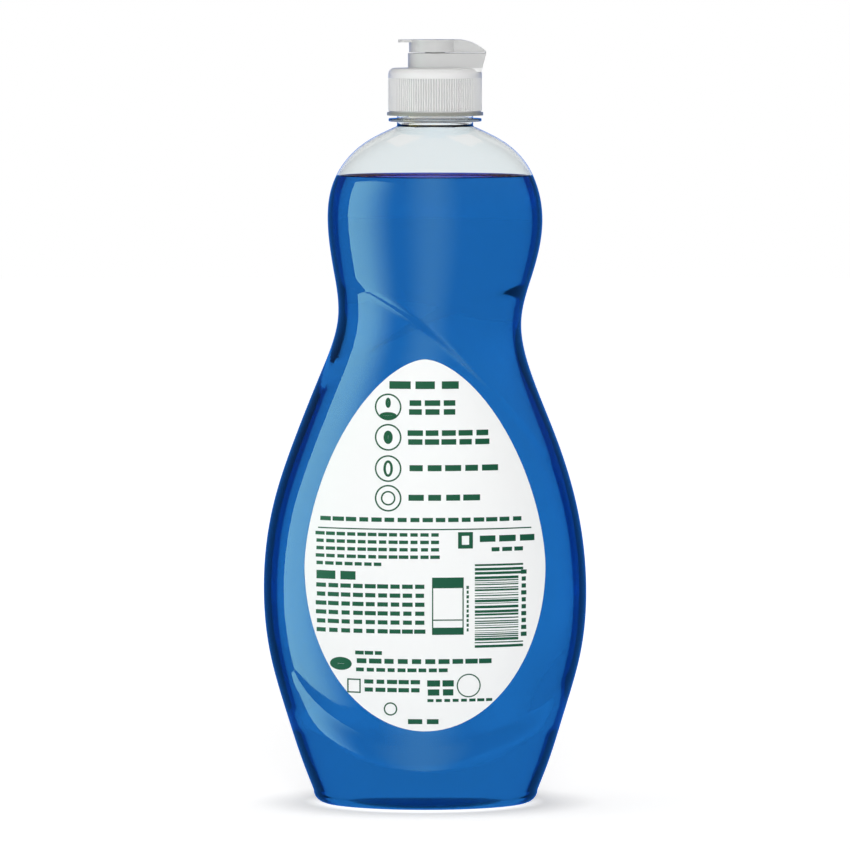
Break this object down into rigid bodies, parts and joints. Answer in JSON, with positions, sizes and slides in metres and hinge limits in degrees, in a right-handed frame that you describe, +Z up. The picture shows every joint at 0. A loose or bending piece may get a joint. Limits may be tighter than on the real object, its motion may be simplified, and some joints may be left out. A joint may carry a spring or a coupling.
{
  "type": "dish soap bottle",
  "caption": "Clear waisted plastic bottle full of blue dish soap, with an egg-shaped label in a sunk panel and a ribbed screw cap with a flip-top spout.",
  "frame": {"origin": "middle of the belly's width and depth, on the surface that the base stands on", "axes": "+Z up along the bottle, -Y out of the face with the label, +X towards the lid's hinge"},
  "size_m": [0.1032, 0.0525, 0.244],
  "materials": {
    "clear_plastic": "clear blown PET, glossy",
    "soap": "clear deep blue liquid",
    "label_film": "white printed film, satin",
    "liner_foam": "soft white foam",
    "cap_plastic": "moulded natural polypropylene, satin"
  },
  "bodies": {
    "bottle": {"bottle": "clear_plastic", "dish_soap": "soap", "label": "label_film"},
    "cap_liner": {"cap_liner": "liner_foam"},
    "cap_base": {"cap_base": "cap_plastic"},
    "flip_lid": {"flip_lid": "cap_plastic"}
  },
  "joints": [
    {"name": "cap_rise", "type": "slide", "parent": "bottle", "child": "cap_liner", "axis": [0, 0, 1], "range_m": [0, 0.0053]},
    {"name": "cap_turn", "type": "hinge", "parent": "cap_liner", "child": "cap_base", "pos_m": [0.0032, 0, 0.22], "axis": [0, 0, 1], "range_deg": [0, 450]},
    {"name": "lid_hinge", "type": "hinge", "parent": "cap_base", "child": "flip_lid", "pos_m": [0.0193, 0, 0.23985], "axis": [0, 1, 0], "range_deg": [0, 160]}
  ],
  "couplings": [
    {"joint": "cap_rise", "follows": "cap_turn", "m_per_rad": 0.00067323}
  ]
}
